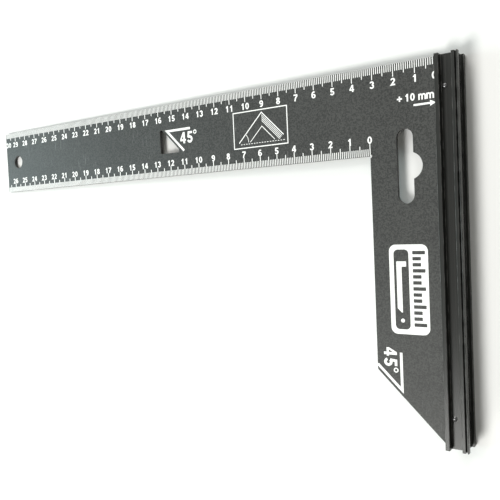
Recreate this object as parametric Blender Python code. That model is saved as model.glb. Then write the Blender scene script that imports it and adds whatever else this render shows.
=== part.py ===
"""Try and mitre square: a flat L-shaped plate held in the slot of a riveted fence.

The tool lies flat with its graduated face up. The fence runs along Y at the +X side,
the blade points towards -X, and the stock plate reaches from it towards -Y.
Places are worked out from the two working edges: `along` is the distance from the
fence's inner face towards the blade's tip, `down` is the distance from the blade's
outer edge towards the mitre, and `height` is counted from the plate's mid-plane.
"""

import math

import bmesh
import bpy
from mathutils import Vector

MM = 0.001

# Driving dimensions, in millimetres
BLADE_LENGTH = 300.0        # fence's inner face to the blade's tip
BLADE_WIDTH = 40.0
STOCK_WIDTH = 32.0          # fence's inner face to the stock plate's inner edge
FENCE_LENGTH = 171.0        # the 45 degree cut meets the fence at its lower end
FENCE_WIDTH = 10.0          # what the fence adds to the scale
FENCE_DEPTH = 12.0
PLATE_THICKNESS = 2.0
GAP = 0.3                   # clearance between neighbouring pieces

# Fence section, measured across from the inner face
LIP = 1.95
WEB_FACE = 2.5              # mid-plane to the channel's floor
OUTER_WALL_START = 7.25
OUTER_WALL_END = 8.7
FIN_START = 9.4
FIN_HEIGHT = 2.4
FIN_FOOT = 0.8              # bridge between the outer wall and the fin

# Holes in the plate
MITRE_CORNER_RADIUS = 1.5
RELIEF_RADIUS = 0.8
TIP_HOLE_RADIUS = 4.0
TIP_HOLE_ALONG = 288.0
WINDOW_ALONG = 159.0        # upright edge of the 45 degree window
WINDOW_DOWN = 27.0          # its lower edge
WINDOW_SIDE = 15.0
WINDOW_RADIUS = 1.0
SLOT_ALONG = 15.55          # centre line of the hanging slot
SLOT_WIDTH = 7.5
SLOT_START = 29.3
SLOT_LENGTH = 33.3
BAY_ALONG = 13.85           # centre of the round bay in the slot's side
BAY_RADIUS = 6.15

# Rivets
RIVET_ACROSS = 3.4
RIVET_INSET = 13.5          # from each end of the fence
RIVET_HEAD_RADIUS = 1.15
RIVET_DOME = 0.8
RIVET_SHANK_RADIUS = 0.6

CIRCLE_STEPS = 48
CORNER_STEPS = 6
DOME_STEPS = 6

HALF_PLATE = PLATE_THICKNESS / 2
HALF_DEPTH = FENCE_DEPTH / 2
FENCE_INNER_X = (BLADE_LENGTH - FENCE_WIDTH) / 2
CUT_REACH = FENCE_DEPTH     # how far a cutter stands clear of what it cuts


def place(along, down, height):
    """World position, in metres, of a point given in the working-edge distances."""
    x = FENCE_INNER_X - along
    y = FENCE_LENGTH / 2 - down
    return Vector((x, y, HALF_DEPTH + height)) * MM


def make_material(name, colour, roughness, metallic):
    material = bpy.data.materials.new(name)
    material.use_nodes = True
    shader = material.node_tree.nodes["Principled BSDF"]
    shader.inputs["Base Color"].default_value = (*colour, 1.0)
    shader.inputs["Roughness"].default_value = roughness
    shader.inputs["Metallic"].default_value = metallic
    return material


def plate_material():
    return make_material("dark_anodised_plate", (0.05, 0.052, 0.05), 0.55, 0.1)


def fence_material():
    return make_material("dark_anodised_fence", (0.03, 0.031, 0.031), 0.45, 0.1)


def rivet_material():
    return make_material("dark_rivet", (0.14, 0.14, 0.145), 0.4, 0.6)


def finish_mesh(builder, name, material):
    """Turn a bmesh into a named object whose faces point out."""
    bmesh.ops.recalc_face_normals(builder, faces=builder.faces)
    mesh = bpy.data.meshes.new(name)
    builder.to_mesh(mesh)
    builder.free()
    if material:
        mesh.materials.append(material)
    piece = bpy.data.objects.new(name, mesh)
    bpy.context.scene.collection.objects.link(piece)
    return piece


def make_prism(name, outline, travel, material=None):
    """A closed outline of world points, pushed along the travel vector."""
    builder = bmesh.new()
    base = builder.faces.new([builder.verts.new(point) for point in outline])
    pushed = bmesh.ops.extrude_face_region(builder, geom=[base])["geom"]
    far_corners = [item for item in pushed if isinstance(item, bmesh.types.BMVert)]
    bmesh.ops.translate(builder, verts=far_corners, vec=travel)
    return finish_mesh(builder, name, material)


def arc_points(centre, radius, start, sweep, steps):
    """Points along an arc in the (along, down) plane, both ends included."""
    angles = [start + sweep * step / steps for step in range(steps + 1)]
    return [(centre[0] + radius * math.cos(a), centre[1] + radius * math.sin(a)) for a in angles]


def round_corner(before, corner, after, radius):
    """The arc that rounds one corner of an outline."""
    before, corner, after = Vector(before), Vector(corner), Vector(after)
    inward = (before - corner).normalized()
    outward = (after - corner).normalized()
    half_angle = inward.angle(outward) / 2
    centre = corner + (inward + outward).normalized() * radius / math.sin(half_angle)
    start = corner + inward * radius / math.tan(half_angle) - centre
    end = corner + outward * radius / math.tan(half_angle) - centre
    start_angle = math.atan2(start.y, start.x)
    turn = math.atan2(end.y, end.x) - start_angle
    sweep = (turn + math.pi) % math.tau - math.pi
    return arc_points(centre, radius, start_angle, sweep, CORNER_STEPS)


def plate_outline():
    hidden_edge = GAP - OUTER_WALL_START
    plate_end = FENCE_LENGTH - GAP
    mitre_corner = (STOCK_WIDTH, FENCE_LENGTH - STOCK_WIDTH)
    mitre_end = (GAP, plate_end)
    inner_corner = (STOCK_WIDTH, BLADE_WIDTH)
    return [
        (hidden_edge, 0),
        (BLADE_LENGTH, 0),
        (BLADE_LENGTH, BLADE_WIDTH),
        inner_corner,
        *round_corner(inner_corner, mitre_corner, mitre_end, MITRE_CORNER_RADIUS),
        mitre_end,
        (hidden_edge, plate_end),
    ]


def window_outline():
    """A right triangle whose long side lies on the line of the stock's mitre."""
    top = (WINDOW_ALONG, WINDOW_DOWN - WINDOW_SIDE)
    square = (WINDOW_ALONG, WINDOW_DOWN)
    point = (WINDOW_ALONG - WINDOW_SIDE, WINDOW_DOWN)
    return [
        *round_corner(point, top, square, WINDOW_RADIUS),
        *round_corner(top, square, point, WINDOW_RADIUS),
        *round_corner(square, point, top, WINDOW_RADIUS),
    ]


def slot_outline():
    """A slot with full-round ends."""
    radius = SLOT_WIDTH / 2
    first = (SLOT_ALONG, SLOT_START + radius)
    last = (SLOT_ALONG, SLOT_START + SLOT_LENGTH - radius)
    half_circle = CIRCLE_STEPS // 2
    return [
        *arc_points(first, radius, math.pi, math.pi, half_circle),
        *arc_points(last, radius, 0, math.pi, half_circle),
    ]


def circle_outline(along, down, radius):
    return arc_points((along, down), radius, 0, math.tau, CIRCLE_STEPS)[:-1]


def flat_prism(name, outline, low, high, material=None):
    """A prism that stands on an (along, down) outline between two heights."""
    base = [place(along, down, low) for along, down in outline]
    return make_prism(name, base, Vector((0, 0, (high - low) * MM)), material)


def cut_away(piece, cutter_name, outline):
    """Cut a straight hole through a piece with a hidden cutter."""
    cutter = flat_prism(cutter_name, outline, -CUT_REACH, CUT_REACH)
    cutter.hide_render = True
    cutter.display_type = "WIRE"
    boolean = piece.modifiers.new(cutter_name, "BOOLEAN")
    boolean.operation = "DIFFERENCE"
    boolean.solver = "EXACT"
    boolean.object = cutter


def rivet_stations():
    """Name and distance down the fence of each rivet."""
    return {"rivet_upper": RIVET_INSET, "rivet_lower": FENCE_LENGTH - RIVET_INSET}


def cut_rivet_holes(piece):
    for name, down in rivet_stations().items():
        hole = circle_outline(-RIVET_ACROSS, down, RIVET_SHANK_RADIUS + GAP)
        cut_away(piece, f"{piece.name}_{name}_hole", hole)


def build_plate():
    plate = flat_prism(
        "blade_and_stock_plate", plate_outline(), -HALF_PLATE, HALF_PLATE, plate_material()
    )
    slot_middle = SLOT_START + SLOT_LENGTH / 2
    cut_away(plate, "relief", circle_outline(STOCK_WIDTH, BLADE_WIDTH, RELIEF_RADIUS))
    cut_away(plate, "tip_hole", circle_outline(TIP_HOLE_ALONG, BLADE_WIDTH / 2, TIP_HOLE_RADIUS))
    cut_away(plate, "window", window_outline())
    cut_away(plate, "hanging_slot", slot_outline())
    cut_away(plate, "slot_bay", circle_outline(BAY_ALONG, slot_middle, BAY_RADIUS))
    cut_rivet_holes(plate)


def fence_section():
    """The fence's outline as (across, height): a front half and its mirror behind."""
    slot_half = HALF_PLATE + GAP
    fin_under = HALF_DEPTH - FIN_HEIGHT
    fin_foot = fin_under + FIN_FOOT
    front = [
        (OUTER_WALL_START, slot_half),
        (0, slot_half),
        (0, HALF_DEPTH),
        (LIP, HALF_DEPTH),
        (LIP, WEB_FACE),
        (OUTER_WALL_START, WEB_FACE),
        (OUTER_WALL_START, HALF_DEPTH),
        (OUTER_WALL_END, HALF_DEPTH),
        (OUTER_WALL_END, fin_foot),
        (FIN_START, fin_foot),
        (FIN_START, HALF_DEPTH),
        (FENCE_WIDTH, HALF_DEPTH),
        (FENCE_WIDTH, fin_under),
        (OUTER_WALL_END, fin_under),
    ]
    back = [(across, -height) for across, height in reversed(front)]
    return front + back


def build_fence():
    end_face = [place(-across, 0, height) for across, height in fence_section()]
    run = Vector((0, -FENCE_LENGTH * MM, 0))
    fence = make_prism("fence_profile", end_face, run, fence_material())
    cut_rivet_holes(fence)


def rivet_profile():
    """Half section of a rivet as (radius, height), from its front pole to its back."""
    head_base = WEB_FACE + GAP
    sphere = (RIVET_HEAD_RADIUS**2 + RIVET_DOME**2) / (2 * RIVET_DOME)
    edge_angle = math.asin(RIVET_HEAD_RADIUS / sphere)
    centre = head_base + RIVET_DOME - sphere
    front = []
    for step in range(DOME_STEPS + 1):
        angle = edge_angle * step / DOME_STEPS
        front.append((sphere * math.sin(angle), centre + sphere * math.cos(angle)))
    front.append((RIVET_SHANK_RADIUS, head_base))
    return front + [(radius, -height) for radius, height in reversed(front)]


def build_rivet(name, down, material):
    builder = bmesh.new()
    axis_point = place(-RIVET_ACROSS, down, 0)
    points = [axis_point + Vector((radius, 0, height)) * MM for radius, height in rivet_profile()]
    corners = [builder.verts.new(point) for point in points]
    edges = [builder.edges.new(pair) for pair in zip(corners, corners[1:])]
    bmesh.ops.spin(
        builder,
        geom=corners + edges,
        cent=axis_point,
        axis=(0, 0, 1),
        angle=math.tau,
        steps=CIRCLE_STEPS // 2,
    )
    bmesh.ops.remove_doubles(builder, verts=builder.verts, dist=0.00001)
    rivet = finish_mesh(builder, name, material)
    rivet.data.shade_smooth()
    rivet.data.set_sharp_from_angle(angle=math.radians(40))


def main():
    for old in list(bpy.data.objects):
        bpy.data.objects.remove(old, do_unlink=True)
    build_plate()
    build_fence()
    for name, down in rivet_stations().items():
        build_rivet(name, down, rivet_material())


main()
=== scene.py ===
import math

import bmesh
import bpy
from mathutils import Matrix, Vector


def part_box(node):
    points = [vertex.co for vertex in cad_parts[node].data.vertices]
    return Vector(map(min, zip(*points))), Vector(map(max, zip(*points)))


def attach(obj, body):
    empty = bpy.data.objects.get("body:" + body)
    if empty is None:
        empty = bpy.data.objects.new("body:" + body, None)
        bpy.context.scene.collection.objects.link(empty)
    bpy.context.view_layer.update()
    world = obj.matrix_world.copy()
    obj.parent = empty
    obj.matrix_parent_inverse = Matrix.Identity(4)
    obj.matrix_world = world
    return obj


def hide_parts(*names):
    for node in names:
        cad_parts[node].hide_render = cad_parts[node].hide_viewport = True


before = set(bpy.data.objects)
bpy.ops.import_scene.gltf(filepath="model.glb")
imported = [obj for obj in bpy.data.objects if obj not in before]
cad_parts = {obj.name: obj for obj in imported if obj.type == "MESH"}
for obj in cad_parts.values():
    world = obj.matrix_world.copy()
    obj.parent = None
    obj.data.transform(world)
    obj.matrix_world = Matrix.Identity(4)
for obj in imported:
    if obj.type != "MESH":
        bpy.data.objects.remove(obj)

mm = 0.001
collection = bpy.context.scene.collection
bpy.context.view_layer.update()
plateLow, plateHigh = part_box("blade_and_stock_plate")
fenceLow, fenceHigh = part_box("fence_profile")

# Places are given from the two working edges, in millimetres: along is the distance from
# the fence towards the tip, down is the distance from the blade's outer edge.
corner = Vector((fenceLow.x, fenceHigh.y, plateHigh.z))
bladeLength = (fenceLow.x - plateLow.x) / mm
fenceWidth = (fenceHigh.x - fenceLow.x) / mm
fenceLength = (fenceHigh.y - fenceLow.y) / mm
fenceDepth = (fenceHigh.z - fenceLow.z) / mm
plateThick = (plateHigh.z - plateLow.z) / mm
mitreSum = fenceLength  # along + down on the mitred edge


def onPlate(along, down, lift=0.0):
    return corner + Vector((-along, -down, lift)) * mm


# plate millimetres (along, down, lift) to the world
plateSpace = Matrix.Translation(corner) @ Matrix.Diagonal((-mm, -mm, mm, 1))


# ---- nodes, for materials and for geometry

class Field:
    # a node's output, which can be used in sums
    def __init__(self, book, socket):
        self.book = book
        self.socket = socket

    def join(self, operation, first, second):
        return self.book.add("ShaderNodeMath", {"operation": operation}, {0: first, 1: second})

    def __add__(self, other):
        return self.join("ADD", self, other)

    def __mul__(self, other):
        return self.join("MULTIPLY", self, other)

    def __sub__(self, other):
        return self.join("SUBTRACT", self, other)

    def __rsub__(self, other):
        return self.join("SUBTRACT", other, self)

    def __mod__(self, other):
        return self.join("MODULO", self, other)

    __radd__ = __add__
    __rmul__ = __mul__

    def atMost(self, other):
        return self.join("MINIMUM", self, other)

    def step(self, low, high):
        # 0 below low, 1 above high, smooth between
        values = {"Value": self, "From Min": low, "From Max": high}
        return self.book.add("ShaderNodeMapRange", {"interpolation_type": "SMOOTHSTEP"}, values)


class NodeBook:
    # adds nodes to a tree and links what it is given
    def __init__(self, tree):
        self.tree = tree

    def add(self, kind, settings=None, sockets=None, out=0):
        node = self.tree.nodes.new(kind)
        for name, value in (settings or {}).items():
            setattr(node, name, value)
        for name, value in (sockets or {}).items():
            if isinstance(value, Field):
                self.tree.links.new(value.socket, node.inputs[name])
            else:
                node.inputs[name].default_value = value
        return Field(self, node.outputs[out]) if len(node.outputs) else node


class Finish(NodeBook):
    # one material
    def __init__(self, name):
        self.material = bpy.data.materials.new(name)
        self.material.use_nodes = True
        super().__init__(self.material.node_tree)
        self.tree.nodes.clear()
        self.place = self.add("ShaderNodeTexCoord", out="Object")

    def mapped(self, scale=(1, 1, 1), turn=(0, 0, 0)):
        sockets = {"Vector": self.place, "Scale": scale, "Rotation": turn}
        return self.add("ShaderNodeMapping", None, sockets)

    def noise(self, scale, detail=3.0, roughness=0.5, vector=None):
        sockets = {"Vector": vector or self.place, "Scale": scale}
        return self.add("ShaderNodeTexNoise", None, {**sockets, "Detail": detail, "Roughness": roughness})

    def tint(self, mask, first, second):
        # mask 0 gives the first colour, mask 1 the second
        mix = {0: mask, 6: first, 7: second}
        return self.add("ShaderNodeMix", {"data_type": "RGBA"}, mix, out=2)

    def edge(self):
        # 1 on rounded edges between a level face and an upright one
        side = self.add("ShaderNodeTexCoord", out="Normal")
        level = self.add("ShaderNodeSeparateXYZ", None, {0: side}, out=2)
        level = self.add("ShaderNodeMath", {"operation": "ABSOLUTE"}, {0: level})
        return level.step(0.12, 0.35) * (1 - level.step(0.9, 0.985))

    def bump(self, height, strength, distance):
        sockets = {"Height": height, "Strength": strength, "Distance": distance}
        return self.add("ShaderNodeBump", None, sockets)

    def surface(self, sockets):
        shader = self.add("ShaderNodeBsdfPrincipled", None, sockets)
        self.add("ShaderNodeOutputMaterial", None, {"Surface": shader})
        return self.material


class Pattern(NodeBook):
    # one Geometry Nodes tree with named inputs
    def __init__(self, name, inputs):
        super().__init__(bpy.data.node_groups.new(name, "GeometryNodeTree"))
        face = self.tree.interface
        face.new_socket("Geometry", in_out="OUTPUT", socket_type="NodeSocketGeometry")
        face.new_socket("Geometry", in_out="INPUT", socket_type="NodeSocketGeometry")
        for label, kind in inputs.items():
            face.new_socket(label, in_out="INPUT", socket_type="NodeSocket" + kind)
        self.entry = self.tree.nodes.new("NodeGroupInput")

    def given(self, label):
        return Field(self, self.entry.outputs[label])

    def close(self, geometry, material):
        whole = self.add("GeometryNodeRealizeInstances", None, {0: geometry})
        painted = self.add("GeometryNodeSetMaterial", None, {"Geometry": whole, "Material": material})
        self.add("NodeGroupOutput", None, {0: painted})
        return self.tree


# ---- meshes

def plainMesh(holder):
    # the evaluated object as a plain mesh; the object goes
    graph = bpy.context.evaluated_depsgraph_get()
    mesh = bpy.data.meshes.new_from_object(holder.evaluated_get(graph), depsgraph=graph)
    bpy.data.objects.remove(holder)
    return mesh


def link(name, data):
    made = bpy.data.objects.new(name, data)
    collection.objects.link(made)
    return made


def patterned(tree, values, seedMesh=None):
    # runs a Geometry Nodes tree and keeps its result as a mesh
    holder = link("pattern", seedMesh or bpy.data.meshes.new("seed"))
    modifier = holder.modifiers.new("pattern", "NODES")
    modifier.node_group = tree
    for item in tree.interface.items_tree:
        if item.in_out == "INPUT" and item.name in values:
            modifier[item.identifier] = values[item.name]
    return plainMesh(holder)


def tidyMesh(mesh, merge):
    builder = bmesh.new()
    builder.from_mesh(mesh)
    bmesh.ops.remove_doubles(builder, verts=builder.verts, dist=merge)
    bmesh.ops.dissolve_degenerate(builder, edges=builder.edges, dist=merge)
    bmesh.ops.recalc_face_normals(builder, faces=builder.faces)
    builder.to_mesh(mesh)
    builder.free()
    return mesh


def joinMeshes(parts):
    # parts are (mesh, matrix) pairs
    builder = bmesh.new()
    for mesh, matrix in parts:
        copy = mesh.copy()
        copy.transform(matrix)
        if matrix.determinant() < 0:
            copy.flip_normals()
        builder.from_mesh(copy)
        bpy.data.meshes.remove(copy)
    whole = bpy.data.meshes.new("whole")
    builder.to_mesh(whole)
    builder.free()
    return whole


def fuse(meshes):
    # one closed body from overlapping ones
    body = meshes[0]
    for extra in meshes[1:]:
        holder = link("fuse", body)
        tool = link("tool", extra)
        union = holder.modifiers.new("fuse", "BOOLEAN")
        union.operation = "UNION"
        union.object = tool
        body = plainMesh(holder)
        bpy.data.objects.remove(tool)
    return body


def slab(loops, low, high, rim=0.0, rimSteps=2):
    # closed loops filled, holes left open, between two heights, with rolled rims
    outline = bpy.data.curves.new("outline", "CURVE")
    outline.dimensions = "2D"
    outline.fill_mode = "BOTH"
    for loop in loops:
        spline = outline.splines.new("POLY")
        spline.points.add(len(loop) - 1)
        for point, (x, y) in zip(spline.points, loop):
            point.co = (x, y, 0, 1)
        spline.use_cyclic_u = True
    outline.extrude = (high - low) / 2 - rim
    outline.bevel_depth = rim
    outline.bevel_resolution = rimSteps
    outline.offset = -rim
    mesh = tidyMesh(plainMesh(link("outline", outline)), 0.0005)
    mesh.transform(Matrix.Translation((0, 0, (high + low) / 2)))
    return mesh


def piece(name, mesh, material, replaced=(), smoothAngle=None):
    mesh.name = name
    mesh.materials.clear()
    mesh.materials.append(material)
    if smoothAngle:
        mesh.shade_smooth()
        mesh.set_sharp_from_angle(angle=math.radians(smoothAngle))
        for face in mesh.polygons:  # level and upright faces stay flat beside their rolled edges
            face.use_smooth = max(abs(side) for side in face.normal) < 0.9999
    made = link(name, mesh)
    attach(made, "root")
    if replaced:
        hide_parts(*replaced)
    return made


# ---- outlines, in millimetres

def arc(centre, radius, start, sweep, steps):
    # angles in degrees; both ends included
    rx, ry = radius if isinstance(radius, tuple) else (radius, radius)
    angles = [math.radians(start + sweep * step / steps) for step in range(steps + 1)]
    return [(centre[0] + rx * math.cos(a), centre[1] + ry * math.sin(a)) for a in angles]


def circle(centre, radius, steps=96):
    return arc(centre, radius, 0, 360, steps)[:-1]


def rounded(corners, radius, steps=6):
    # every corner of a closed outline rounded; a third value sets a corner's own radius
    smooth = []
    for index, (x, y, *own) in enumerate(corners):
        here = Vector((x, y))
        before = Vector(corners[index - 1][:2]) - here
        after = Vector(corners[(index + 1) % len(corners)][:2]) - here
        size = own[0] if own else radius
        if size == 0:
            smooth.append((x, y))
            continue
        half = before.angle(after) / 2
        size = min(size, 0.49 * min(before.length, after.length) * math.tan(half))
        middle = here + (before.normalized() + after.normalized()).normalized() * size / math.sin(half)
        first = here + before.normalized() * size / math.tan(half) - middle
        last = here + after.normalized() * size / math.tan(half) - middle
        start = math.degrees(math.atan2(first.y, first.x))
        turn = math.degrees(math.atan2(last.y, last.x)) - start
        smooth += arc(middle, size, start, (turn + 180) % 360 - 180, steps)
    return smooth


def box(x0, y0, x1, y1, radius=0.0):
    corners = [(x0, y0), (x1, y0), (x1, y1), (x0, y1)]
    return rounded(corners, radius) if radius else corners


def penLine(points, width):
    # the outline of a stroke with square ends and mitred bends
    route = [Vector(point) for point in points]
    left, right = [], []
    for index, here in enumerate(route):
        arriving = (here - route[index - 1]).normalized() if index else None
        leaving = (route[index + 1] - here).normalized() if index < len(route) - 1 else arriving
        arriving = arriving or leaving
        bisector = (arriving + leaving).normalized()
        reach = min(1 / max(bisector.dot(leaving), 0.01), 3.0) * width / 2
        side = Vector((-bisector.y, bisector.x)) * reach
        left.append(tuple(here + side))
        right.append(tuple(here - side))
    return left + right[::-1]


# ---- finishes

plateLook = {
    "deep": (0.0075, 0.0078, 0.0073, 1),
    "pale": (0.056, 0.0572, 0.0535, 1),
    "bare": (0.30, 0.30, 0.29, 1),
    "gloss": 0.5,
    "grain": 1500,
    "speckle": 3400,
    "cloud": 22,
    "scratches": ((0.12, 2300, 31), (1.45, 1900, 43), (-0.6, 2600, 37)),  # turn, fineness, patch size
    "scratchFineness": 110,  # along a scratch
    "scratchShare": 0.3,
    "wornShare": 0.35,
    "bump": (0.6, 0.00014),
}


def plateFinish():
    look = plateLook
    finish = Finish("plateAnodised")
    grain = finish.noise(look["grain"], 2.0, 0.6)
    speckle = finish.noise(look["speckle"], 2.0, 0.6)
    cloud = finish.noise(look["cloud"], 4.0, 0.6)
    tone = grain.step(0.4, 0.6) * 0.6 + speckle.step(0.38, 0.62) * 0.25 + cloud.step(0.3, 0.75) * 0.15
    scratches = 0
    for turn, fine, patch in look["scratches"]:
        along = look["scratchFineness"]
        streaks = finish.noise(1.0, 1.0, 0.4, finish.mapped((fine, along, along), (0, 0, turn)))
        gate = finish.noise(patch, 2.0)
        scratches = streaks.step(0.67, 0.73) * gate.step(0.58, 0.68) + scratches
    scratches = scratches.atMost(1)
    worn = finish.edge() * finish.noise(240, 3.0).step(0.42, 0.62)
    metal = finish.tint(tone, look["deep"], look["pale"])
    metal = finish.tint(scratches * look["scratchShare"], metal, look["bare"])
    height = grain * 0.7 + speckle * 0.4 - scratches * 0.3
    return finish.surface({
        "Base Color": finish.tint(worn * look["wornShare"], metal, look["bare"]),
        "Metallic": 0.0,
        "Specular IOR Level": look["gloss"],
        "Roughness": 0.42 + grain * 0.16 + speckle * 0.08 - scratches * 0.12,
        "Normal": finish.bump(height, *look["bump"]),
    })


fenceLook = {
    "deep": (0.0225, 0.023, 0.022, 1),
    "pale": (0.049, 0.05, 0.048, 1),
    "bare": (0.32, 0.32, 0.31, 1),
    "gloss": 0.19,
    "drawLines": 5200,
    "bands": 900,
    "grain": 2600,
    "wornShare": 0.3,
    "bump": (0.15, 0.00004),
}


def fenceFinish():
    look = fenceLook
    finish = Finish("fenceAnodised")
    lines = finish.noise(1.0, 3.0, 0.6, finish.mapped((look["drawLines"], 14, look["drawLines"])))
    bands = finish.noise(1.0, 2.0, 0.5, finish.mapped((look["bands"], 5, look["bands"])))
    grain = finish.noise(look["grain"], 2.0)
    cloud = finish.noise(30, 2.0)
    tone = lines.step(0.3, 0.7) * 0.3 + bands.step(0.35, 0.65) * 0.35 + cloud * 0.3 + grain * 0.15
    worn = finish.edge() * finish.noise(150, 4.0).step(0.4, 0.62)
    metal = finish.tint(tone, look["deep"], look["pale"])
    return finish.surface({
        "Base Color": finish.tint(worn * look["wornShare"], metal, look["bare"]),
        "Metallic": 0.0,
        "Specular IOR Level": look["gloss"],
        "Roughness": 0.17 + lines * 0.07 + grain * 0.04 + worn * 0.05,
        "Normal": finish.bump(lines * 0.5 + grain * 0.4, *look["bump"]),
    })


def rivetFinish():
    finish = Finish("rivetMetal")
    dents = finish.noise(2200, 3.0)
    colour = finish.tint(dents.step(0.3, 0.75), (0.1, 0.1, 0.103, 1), (0.34, 0.34, 0.35, 1))
    return finish.surface({
        "Base Color": colour,
        "Metallic": 0.75,
        "Roughness": 0.26 + dents * 0.14,
        "Normal": finish.bump(dents, 0.3, 0.00008),
    })


def inkFinish():
    finish = Finish("whiteInk")
    speckle = finish.noise(5200, 2.0)
    worn = finish.noise(420, 3.0).step(0.4, 0.85)
    return finish.surface({
        "Base Color": finish.tint(worn * 0.3, (0.93, 0.93, 0.92, 1), (0.8, 0.81, 0.8, 1)),
        "Roughness": 0.5 + speckle * 0.12,
        "Normal": finish.bump(speckle, 0.15, 0.00002),
    })


plateMetal = plateFinish()
fenceMetal = fenceFinish()
rivetMetal = rivetFinish()
ink = inkFinish()
print("finishes made")


# ---- plate

plate = {
    "bladeWidth": 40.0,
    "stockWidth": 32.0,
    "rim": 0.16,
    "hiddenEdge": -6.55,
    "endGap": 0.3,  # the plate stops just short of the fence's lower end
    "relief": 0.8,
    "mitreCorner": 1.5,
    "tipHole": (288.0, 20.0, 4.0),
    "window": (159.0, 27.0, 15.0, 1.0),
    "slotLine": 15.55,
    "slotWidth": 7.5,
    "slotEnds": (29.3, 62.6),
    "bay": (13.85, 6.15),
    "rivetHole": 0.75,
}


def plateOutline():
    # goes round the L from the hidden edge, with the relief bitten out of the inner corner
    stock, blade, end = plate["stockWidth"], plate["bladeWidth"], mitreSum - plate["endGap"]
    mitre = [(stock, blade, 0), (stock, mitreSum - stock), (mitreSum - end, end, 0)]
    edge = [(plate["hiddenEdge"], 0), (bladeLength, 0), (bladeLength, blade)]
    edge += arc((stock, blade), plate["relief"], 0, -270, 18)
    edge += rounded(mitre, plate["mitreCorner"])[1:]
    return edge + [(plate["hiddenEdge"], end)]


def windowOutline():
    along, down, side, radius = plate["window"]
    return rounded([(along, down - side), (along, down), (along - side, down)], radius, 10)


def slotOutline():
    # a slot with round ends and a round bay in the side nearest the fence
    line, half = plate["slotLine"], plate["slotWidth"] / 2
    top, bottom = plate["slotEnds"]
    bayLine, bayRadius = plate["bay"]
    near = line - half
    rise = math.degrees(math.acos((bayLine - near) / bayRadius))
    bay = arc((bayLine, (top + bottom) / 2), bayRadius, 180 - rise, 2 * rise, 32)
    return arc((line, top + half), half, 180, 180, 32) + arc((line, bottom - half), half, 0, 180, 32) + bay


def rivetPlaces():
    # where the CAD holds the rivets, from the two working edges
    places = []
    for node in ("rivet_upper", "rivet_lower"):
        low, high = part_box(node)
        middle = (low + high) / 2
        places.append(((corner.x - middle.x) / mm, (corner.y - middle.y) / mm))
    return places


def makePlate():
    holes = [circle(plate["tipHole"][:2], plate["tipHole"][2]), windowOutline(), slotOutline()]
    holes += [circle(place, plate["rivetHole"], 32) for place in rivetPlaces()]
    mesh = slab([plateOutline(), *holes], -plateThick, 0, plate["rim"], 3)
    mesh.transform(plateSpace)
    return piece("plate", mesh, plateMetal, ["blade_and_stock_plate"], 35)


makePlate()
print("plate made")


# ---- fence

fence = {
    "lip": 1.95,
    "web": 2.5,
    "slot": 1.04,
    "slotStop": 0.2,  # how far short of the outer wall the slot ends
    "wall": (7.25, 8.7),
    "fin": 9.4,
    "finHeight": 2.4,
    "finFoot": 0.8,
    "edge": 0.22,
    "sawnRim": 0.12,
    "rivetHole": 0.7,
}


def fenceSection():
    # (across, height) from the plate's mid-plane: the front half, then its mirror
    top = fenceDepth / 2
    inner, outer = fence["wall"]
    under = top - fence["finHeight"]
    foot = under + fence["finFoot"]
    front = [
        (inner - fence["slotStop"], fence["slot"], 0.0),
        (0, fence["slot"], 0.15),
        (0, top),
        (fence["lip"], top),
        (fence["lip"], fence["web"], 0.35),
        (inner, fence["web"], 0.3),
        (inner, top),
        (outer, top, 0.18),
        (outer, foot, 0.2),
        (fence["fin"], foot, 0.2),
        (fence["fin"], top, 0.18),
        (fenceWidth, top),
        (fenceWidth, under, 0.18),
        (outer, under, 0.25),
    ]
    back = [(across, -height, *own) for across, height, *own in reversed(front)]
    return rounded(front + back, fence["edge"], 4)


def makeFence():
    mesh = slab([fenceSection()], -fenceLength / 2, fenceLength / 2, fence["sawnRim"], 1)
    # section x runs across, section y up, and the length along -Y
    middle = Vector((fenceLow.x, (fenceLow.y + fenceHigh.y) / 2, (fenceLow.z + fenceHigh.z) / 2))
    turn = Matrix(((mm, 0, 0), (0, 0, -mm), (0, mm, 0))).to_4x4()
    mesh.transform(Matrix.Translation(middle) @ turn)
    holder = link("fenceBlank", mesh)
    cutters = []
    for along, down in rivetPlaces():
        drill = slab([circle((along, down), fence["rivetHole"], 32)], -fenceDepth, fenceDepth)
        drill.transform(plateSpace)
        cutters.append(link("drill", drill))
        cut = holder.modifiers.new("rivetHole", "BOOLEAN")
        cut.operation = "DIFFERENCE"
        cut.object = cutters[-1]
    cutMesh = plainMesh(holder)
    for cutter in cutters:
        bpy.data.objects.remove(cutter)
    return piece("fence", cutMesh, fenceMetal, ["fence_profile"], 32)


makeFence()
print("fence made")


# ---- rivets

rivet = {
    "head": 1.15,
    "dome": 0.78,
    "shank": 0.6,
    "rimHeight": 0.12,
    "seat": 0.01,
    "steps": 48,
}


def rivetProfile():
    # (radius, height) from the front pole to the back pole
    base = fence["web"] + rivet["seat"]
    rise = rivet["dome"] - rivet["rimHeight"]
    sphere = (rivet["head"] ** 2 + rise**2) / (2 * rise)
    spread = math.degrees(math.asin(rivet["head"] / sphere))
    centre = base + rivet["dome"] - sphere
    front = [(x, y) for y, x in arc((centre, 0), sphere, 0, spread, 10)]
    front += [(rivet["head"], base), (rivet["shank"], base)]
    return front + [(radius, -height) for radius, height in reversed(front)]


def rivetMesh():
    builder = bmesh.new()
    ring = [builder.verts.new((radius * mm, 0, height * mm)) for radius, height in rivetProfile()]
    edges = [builder.edges.new(pair) for pair in zip(ring, ring[1:])]
    spun = {"cent": (0, 0, 0), "axis": (0, 0, 1), "angle": math.tau, "steps": rivet["steps"]}
    bmesh.ops.spin(builder, geom=ring + edges, **spun)
    mesh = bpy.data.meshes.new("rivet")
    builder.to_mesh(mesh)
    builder.free()
    return tidyMesh(mesh, 0.000002)


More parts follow.
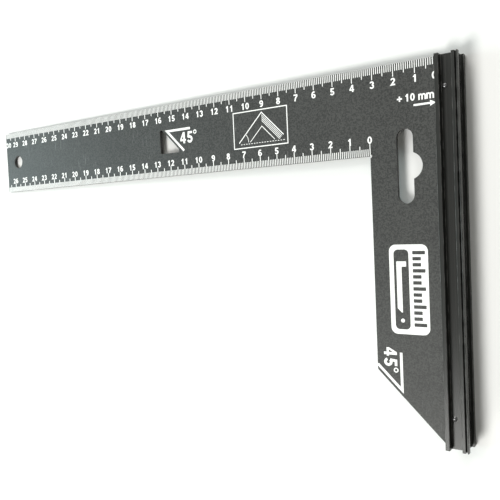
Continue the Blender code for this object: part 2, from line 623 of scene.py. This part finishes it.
def rivetPattern():
    inputs = {"First": "Vector", "Spacing": "Vector", "Count": "Int", "Metal": "Material"}
    pattern = Pattern("rivetRow", inputs)
    sockets = {"Count": "Count", "Start Location": "First", "Offset": "Spacing"}
    sockets = {name: pattern.given(label) for name, label in sockets.items()}
    row = pattern.add("GeometryNodeMeshLine", {"mode": "OFFSET"}, sockets)
    sockets = {"Points": row, "Instance": pattern.given("Geometry")}
    return pattern.close(pattern.add("GeometryNodeInstanceOnPoints", None, sockets), pattern.given("Metal"))


def makeRivets():
    first, last = [onPlate(along, down, -plateThick / 2) for along, down in rivetPlaces()]
    values = {"First": first, "Spacing": last - first, "Count": 2, "Metal": rivetMetal}
    mesh = patterned(rivetPattern(), values, rivetMesh())
    return piece("rivets", mesh, rivetMetal, ["rivet_upper", "rivet_lower"], 40)


makeRivets()
print("rivets made")


# ---- ink, laid on the plate's face

inkLow, inkHigh = 0.002, 0.03


def inkMesh(loopGroups):
    # each group of loops is one separate printed shape
    return joinMeshes([(slab(loops, inkLow, inkHigh), plateSpace) for loops in loopGroups])


ticks = {
    # spread is how much wider the last mark is printed than the first
    "outer": {
        "line": 0.34, "spread": 0.6, "short": 3.2, "middle": 4.6, "long": 5.6,
        "first": 1, "last": 299, "zero": 0.0,
    },
    "inner": {
        "line": 0.37, "spread": 0.7, "short": 3.2, "middle": 4.8, "long": 5.6,
        "first": 0, "last": 267, "zero": 32.0,
    },
}


def tickPattern():
    # a line every millimetre, longer at every fifth and every tenth
    sizes = ("Step", "Line", "Spread", "Thick", "Short", "Middle", "Long", "Inward")
    inputs = {"Start": "Vector", "First mark": "Int", "Marks": "Int", **dict.fromkeys(sizes, "Float")}
    pattern = Pattern("tickRow", {**inputs, "Ink": "Material"})
    number = pattern.add("GeometryNodeInputIndex") + pattern.given("First mark")
    fives = 1 - (number % 5).atMost(1)
    tens = 1 - (number % 10).atMost(1)
    short, middle, long = [pattern.given(label) for label in ("Short", "Middle", "Long")]
    length = short + fives * (middle - short) + tens * (long - middle)
    apart = pattern.add("ShaderNodeCombineXYZ", None, {"X": 0 - pattern.given("Step")})
    sockets = {"Count": pattern.given("Marks"), "Start Location": pattern.given("Start"), "Offset": apart}
    row = pattern.add("GeometryNodeMeshLine", {"mode": "OFFSET"}, sockets)
    inward = {"Y": length * pattern.given("Inward") * 0.5}
    middles = pattern.add("ShaderNodeCombineXYZ", None, inward)
    row = pattern.add("GeometryNodeSetPosition", None, {"Geometry": row, "Offset": middles})
    thick = {"X": pattern.given("Line"), "Y": 1.0, "Z": pattern.given("Thick")}
    size = pattern.add("ShaderNodeCombineXYZ", None, thick)
    bar = pattern.add("GeometryNodeMeshCube", None, {"Size": size})
    widened = number * pattern.given("Spread") + 1
    stretch = pattern.add("ShaderNodeCombineXYZ", None, {"X": widened, "Y": length, "Z": 1.0})
    sockets = {"Points": row, "Instance": bar, "Scale": stretch}
    return pattern.close(pattern.add("GeometryNodeInstanceOnPoints", None, sockets), pattern.given("Ink"))


def makeTicks(name, scale, edgeDown, inward):
    lift = (inkLow + inkHigh) / 2
    rim = 0.05  # the ink stops just short of the rolled edge
    values = {
        "Start": onPlate(scale["zero"] + scale["first"], edgeDown - rim * inward, lift),
        "First mark": scale["first"],
        "Marks": scale["last"] - scale["first"] + 1,
        "Step": mm,
        "Line": scale["line"] * mm,
        "Spread": scale["spread"] / scale["last"],
        "Thick": (inkHigh - inkLow) * mm,
        "Short": scale["short"] * mm,
        "Middle": scale["middle"] * mm,
        "Long": scale["long"] * mm,
        "Inward": float(inward),
        "Ink": ink,
    }
    return piece(name, patterned(tickRow, values), ink)


tickRow = tickPattern()
makeTicks("outerTicks", ticks["outer"], 0, -1)
makeTicks("innerTicks", ticks["inner"], plate["bladeWidth"], 1)
print("ticks made")


# ---- figures: each is drawn one unit high, x to the right and y up

pen = {
    "wide": 0.2,
    "flat": 0.18,
    "body": 0.62,  # a figure's own width
    "advance": 0.74,
    "others": {"m": 1.06, " ": 0.3},  # advances of their own
    "steps": 28,
}


def ring(x, y, rx, ry):
    inside = (rx - pen["wide"], ry - pen["flat"])
    return [arc((x, y), radius, 0, 360, pen["steps"])[:-1] for radius in ((rx, ry), inside)]


def stroke(*points):
    return [penLine(points, pen["wide"])]


def sixParts():
    hook = [(0.1, 0.33), *arc((0.335, 0.52), (0.235, 0.39), 180, -128, 14)]
    return [ring(0.31, 0.315, 0.31, 0.315), stroke(*hook)]


def figureParts():
    # every part is a list of loops; the parts of a figure are fused
    bowl = arc((0.29, 0.315), (0.215, 0.225), 138, -300, 22)
    two = [*arc((0.3, 0.69), (0.2, 0.22), 170, -205, 16), (0.13, 0.1), (0.6, 0.1)]
    four = [(0.34, 0), (0.54, 0), (0.54, 0.21), (0.64, 0.21), (0.64, 0.38), (0.54, 0.38), (0.54, 1)]
    four += [(0.33, 1), (0, 0.4), (0, 0.21), (0.34, 0.21)]
    flag = [(0.1, 0.66), (0.32, 0.66), (0.32, 0.98), (0.27, 0.98), (0.22, 0.86), (0.1, 0.8)]
    return {
        "0": [ring(0.31, 0.5, 0.31, 0.5)],
        "1": [[box(0.26, 0, 0.46, 1)], [flag]],
        "2": [stroke(*two)],
        "3": [
            stroke(*arc((0.29, 0.73), (0.195, 0.185), 165, -250, 18)),
            stroke(*arc((0.29, 0.3), (0.21, 0.21), 82, -250, 18)),
        ],
        "4": [[four, [(0.35, 0.38), (0.35, 0.72), (0.16, 0.38)]]],
        "5": [stroke((0.57, 0.91), (0.18, 0.91), (0.13, 0.47)), stroke(*bowl)],
        "6": sixParts(),
        "7": [stroke((0.03, 0.91), (0.52, 0.91), *arc((0.85, 0.0), (0.62, 0.86), 120, 60, 10))],
        "8": [ring(0.31, 0.745, 0.275, 0.255), ring(0.31, 0.285, 0.31, 0.285)],
        "m": [
            [box(0, 0, 0.19, 0.78)],
            stroke((0.095, 0.4), *arc((0.3, 0.5), (0.2, 0.2), 165, -165, 12), (0.5, 0)),
            stroke((0.5, 0.4), *arc((0.71, 0.5), (0.205, 0.2), 165, -165, 12), (0.915, 0)),
        ],
        "+": [[[(0, 0.4), (0.25, 0.4), (0.25, 0.15), (0.45, 0.15), (0.45, 0.4), (0.7, 0.4), (0.7, 0.6),
                (0.45, 0.6), (0.45, 0.85), (0.25, 0.85), (0.25, 0.6), (0, 0.6)]]],
    }


def makeFigures():
    made = {name: fuse([slab(loops, 0, 1) for loops in parts]) for name, parts in figureParts().items()}
    upsideDown = Matrix.Translation((pen["body"], 1, 0)) @ Matrix.Rotation(math.pi, 4, "Z")
    made["9"] = joinMeshes([(made["6"], upsideDown)])
    return made


figures = makeFigures()
print("figures made")


def wordParts(word, along, down, height, turn=0.0, advance=pen["advance"], stretch=1.0):
    # a word centred on a place; turn is in degrees, anticlockwise as read
    parts, cursor = [], 0.0
    for letter in word:
        parts.append((figures[letter], cursor))
        cursor += pen["others"].get(letter, advance)
    width = cursor - (advance - pen["body"])
    scale = Matrix.Diagonal((stretch * height * mm, height * mm, (inkHigh - inkLow) * mm, 1))
    spot = Matrix.Translation(onPlate(along, down, inkLow)) @ Matrix.Rotation(math.radians(turn), 4, "Z")
    return [(mesh, spot @ scale @ Matrix.Translation((x - width / 2, -0.5, 0))) for mesh, x in parts]


numbers = {
    "height": 3.3,
    "stretch": 1.1,
    "outerDown": 7.9,
    "innerUp": 7.35,
    "firstShift": 1.3,  # the first and last are moved in, to stay on the plate
    "lastShift": 2.6,
}


def makeNumbers(name, last, zero, down):
    parts = []
    for count in range(last + 1):
        along = max(zero + 10 * count, numbers["firstShift"])
        along = min(along, bladeLength - numbers["lastShift"])
        parts += wordParts(str(count), along, down, numbers["height"], stretch=numbers["stretch"])
    return piece(name, joinMeshes(parts), ink)


makeNumbers("outerNumbers", 30, 0, numbers["outerDown"])
makeNumbers("innerNumbers", 26, plate["stockWidth"], plate["bladeWidth"] - numbers["innerUp"])
print("numbers made")


# ---- angle marks and the fence-width mark

angleMarks = {
    "pen": 1.25,
    "line": 168.4,  # along + down on the slanted strokes
    "windowTop": 14.65,
    "windowReach": 137.0,
    "windowFoot": 26.5,
    "stockLine": 20.45,
    "stockTop": 130.5,
    "figureHeight": 6.2,
    "windowWord": (139.85, 19.5),
    "windowRing": (133.75, 17.0),
    "stockWord": (25.6, 132.8),
    "stockRing": (23.1, 138.8),
    "ring": (1.15, 0.62),
    "advance": 0.8,
}


def makeAngleMarks():
    mark = angleMarks
    line, top, foot = mark["line"], mark["windowTop"], mark["windowFoot"]
    window = penLine([(mark["windowReach"], top), (line - top, top), (line - foot, foot)], mark["pen"])
    stock, edge = mark["stockLine"], plate["stockWidth"] - plate["rim"]
    mitre = penLine([(stock, mark["stockTop"]), (stock, line - stock), (edge, line - edge)], mark["pen"])
    rings = [
        [circle(mark[name], radius, 40) for radius in mark["ring"]]
        for name in ("windowRing", "stockRing")
    ]
    loops = inkMesh([[window], [mitre], *rings])
    words = wordParts("45", *mark["windowWord"], mark["figureHeight"], 0, mark["advance"])
    words += wordParts("45", *mark["stockWord"], mark["figureHeight"], -90, mark["advance"])
    return piece("angleMarks", joinMeshes([(loops, Matrix()), *words]), ink)


widthMark = {
    "height": 3.35,
    "plus": (17.35, 16.1),
    "number": (12.5, 15.95),
    "unit": (5.3, 16.0),
    "arrow": (10.9, 0.9, 19.6),
    "arrowPen": 0.85,
    "arrowHead": (2.6, 1.3),
}


def makeWidthMark():
    mark = widthMark
    tail, tip, down = mark["arrow"]
    long, half = mark["arrowHead"]
    thin = mark["arrowPen"] / 2
    neck = tip + long
    arrow = [(tail, down - thin), (neck, down - thin), (neck, down - half), (tip, down)]
    arrow += [(neck, down + half), (neck, down + thin), (tail, down + thin)]
    words = []
    for word, key in (("+", "plus"), ("10", "number"), ("mm", "unit")):
        words += wordParts(word, *mark[key], mark["height"])
    return piece("widthMark", joinMeshes([(inkMesh([[arrow]]), Matrix()), *words]), ink)


makeAngleMarks()
makeWidthMark()
print("angle and width marks made")


# ---- a plain usage drawing and a plain tool badge

drawing = {
    "box": (75.0, 10.5, 108.0, 29.6),
    "line": 0.5,
    "thin": 0.3,
    "apex": (90.2, 12.2),
    "base": 26.6,
    "armEnd": 1.8,  # the hatched arm stops short of the base line
    "armWidth": 7.0,
    "hatch": (0.9, 1.6, 2.3, 3.0),
    "hatchDrop": 1.4,
    "hatchSlant": 0.7,
    "hatchEnd": 2.0,
    "dash": (0.9, 0.7),
    "dashStart": 1.2,
    "dashDrop": 0.7,
    "arcRadius": 6.0,
}


def makeDrawing():
    # a small square standing on a dashed base line, with an angle arc at its foot
    look = drawing
    near, top, far, bottom = look["box"]
    line, thin, base = look["line"], look["thin"], look["base"]
    short, wide, end = look["armEnd"], look["armWidth"], look["hatchEnd"]
    x, y = look["apex"]
    rise = base - y
    groups = [[box(near, top, far, bottom), box(near + line, top + line, far - line, bottom - line)]]
    outside = [(x + rise, base), (x, y), (x - rise + short, base - short)]
    inside = [(x + rise - wide, base), (x, y + wide), (x - rise + wide, base)]
    groups += [[penLine(outside, line)], [penLine(inside, thin * 1.2)]]
    for shift in look["hatch"]:
        slant = shift * look["hatchSlant"]
        hatch = [(x, y + shift * look["hatchDrop"]), (x - rise + end + slant, base - end + slant)]
        groups.append([penLine(hatch, thin)])
    dash, gap = look["dash"]
    start, under = x - rise + look["dashStart"], base + look["dashDrop"]
    while start + dash < x + rise:
        groups.append([box(start, under, start + dash, under + thin)])
        start += dash + gap
    groups.append([penLine(arc((x + rise, base), look["arcRadius"], 180, 45, 12), thin)])
    return piece("usageDrawing", inkMesh(groups), ink)


badge = {
    "box": (6.6, 81.0, 24.6, 121.8),
    "round": 3.0,
    "window": (15.5, 83.2, 22.5, 119.6),
    "windowRound": 2.0,
    "bars": {
        "count": 13, "from": 83.9, "pitch": 2.72, "thick": 1.6, "round": 0.25,
        "edge": 13.7, "long": 5.8, "short": 3.9,
    },
    "square": ((21.3, 88.6), (16.7, 88.6), (16.7, 91.0), (18.9, 91.0), (18.9, 112.4), (21.3, 110.0)),
    "squareRound": 0.3,
    "dot": (19.0, 115.6, 0.9),
}


def makeBadge():
    # a row of dark bars like a rule's, and a small square in a dark window
    look, bars = badge, badge["bars"]
    loops = [box(*look["box"], look["round"]), box(*look["window"], look["windowRound"])]
    for count in range(bars["count"]):
        reach = bars["short"] if count % 3 else bars["long"]
        start = bars["from"] + count * bars["pitch"]
        loops.append(box(bars["edge"] - reach, start, bars["edge"], start + bars["thick"], bars["round"]))
    square = rounded(look["square"], look["squareRound"])
    dot = circle(look["dot"][:2], look["dot"][2], 32)
    return piece("badge", inkMesh([loops, [square], [dot]]), ink)


makeDrawing()
makeBadge()
print("drawing and badge made")


# ---- camera, floor and light

view = {
    "eye": (-82.3, 67.0, 274.5),
    "aim": (100.9, 82.5, 0.0),
    "roll": -2.589,
    "lens": 45.35,
}


def makeCamera():
    data = bpy.data.cameras.new("camera")
    data.lens = view["lens"]
    data.sensor_width = 36.0
    data.clip_start = 0.01
    camera = link("camera", data)
    eye = onPlate(*view["eye"])
    forward = (onPlate(*view["aim"]) - eye).normalized()
    right = forward.cross(Vector((0, 1, 0))).normalized()
    up = right.cross(forward)
    facing = Matrix((right, up, -forward)).transposed().to_4x4()
    roll = Matrix.Rotation(math.radians(view["roll"]), 4, "Z")
    camera.matrix_world = Matrix.Translation(eye) @ facing @ roll
    bpy.context.scene.camera = camera


floorLook = {
    "reach": 1.3,  # metres from the middle
    "cloud": 6,
    "tones": ((0.88, 0.88, 0.875, 1), (0.9, 0.9, 0.895, 1)),
    "roughness": 0.9,
}


def makeFloor():
    finish = Finish("paleFloor")
    colour = finish.tint(finish.noise(floorLook["cloud"], 2.0), *floorLook["tones"])
    material = finish.surface({"Base Color": colour, "Roughness": floorLook["roughness"]})
    # the tool rests on the fence's inner lower edge and the blade's tip, so the floor leans
    slope = (plateLow.z - fenceLow.z) / (fenceLow.x - plateLow.x)
    reach = floorLook["reach"]
    sides = [(-reach, -reach), (reach, -reach), (reach, reach), (-reach, reach)]
    mesh = bpy.data.meshes.new("floor")
    mesh.from_pydata([(x, y, fenceLow.z + (fenceLow.x - x) * slope) for x, y in sides], [], [(0, 1, 2, 3)])
    mesh.materials.append(material)
    link("floor", mesh)


lights = {
    # zenith and azimuth in degrees from the middle of the tool, spread is the angular radius
    "key": {"zenith": 33, "azimuth": 243, "spread": 11.5, "strength": 0.63, "tint": (1, 1, 0.97)},
    "highLeft": {"zenith": 36, "azimuth": 120, "spread": 12, "strength": 0.19, "tint": (1, 1, 0.97)},
    "right": {"zenith": 36, "azimuth": 0, "spread": 12, "strength": 0.06, "tint": (1, 1, 0.9)},
    "back": {"zenith": 66, "azimuth": 90, "spread": 18, "strength": 0.24, "tint": (1, 1, 0.95)},
    "left": {"zenith": 73, "azimuth": 180, "spread": 13, "strength": 0.2, "tint": (0.8, 1, 1.03)},
    "lowLeft": {"zenith": 73, "azimuth": 240, "spread": 13, "strength": 0.155, "tint": (1, 1, 0.93)},
}
studio = {"distance": 2.5, "sky": 0.03, "backdrop": 1.0}


def makeLights():
    # strength is the brightness that the lamp alone gives a white floor
    for name, look in lights.items():
        zenith, azimuth, spread = [math.radians(look[key]) for key in ("zenith", "azimuth", "spread")]
        level = Vector((math.cos(azimuth), math.sin(azimuth), 0))
        toward = level * math.sin(zenith) + Vector((0, 0, math.cos(zenith)))
        radius = studio["distance"] * math.tan(spread)
        data = bpy.data.lights.new(name, "AREA")
        data.shape = "DISK"
        data.size = 2 * radius
        shine = look["strength"] * studio["distance"] ** 2 / (radius**2 * math.cos(zenith))
        data.energy = shine * math.pi**2 * radius**2
        data.color = look["tint"]
        lamp = link(name, data)
        lamp.location = toward * studio["distance"]
        lamp.rotation_mode = "QUATERNION"
        lamp.rotation_quaternion = (-toward).to_track_quat("-Z", "Y")
    world = bpy.data.worlds.new("studio")
    world.use_nodes = True
    book = NodeBook(world.node_tree)
    world.node_tree.nodes.clear()
    seen = book.add("ShaderNodeLightPath")  # the backdrop is pale, but adds little light
    strength = seen * (studio["backdrop"] - studio["sky"]) + studio["sky"]
    sky = book.add("ShaderNodeBackground", None, {"Color": (1, 1, 1, 1), "Strength": strength})
    book.add("ShaderNodeOutputWorld", None, {"Surface": sky})
    bpy.context.scene.world = world


makeCamera()
makeFloor()
makeLights()
bpy.context.scene.view_settings.view_transform = "Standard"
print("studio ready")
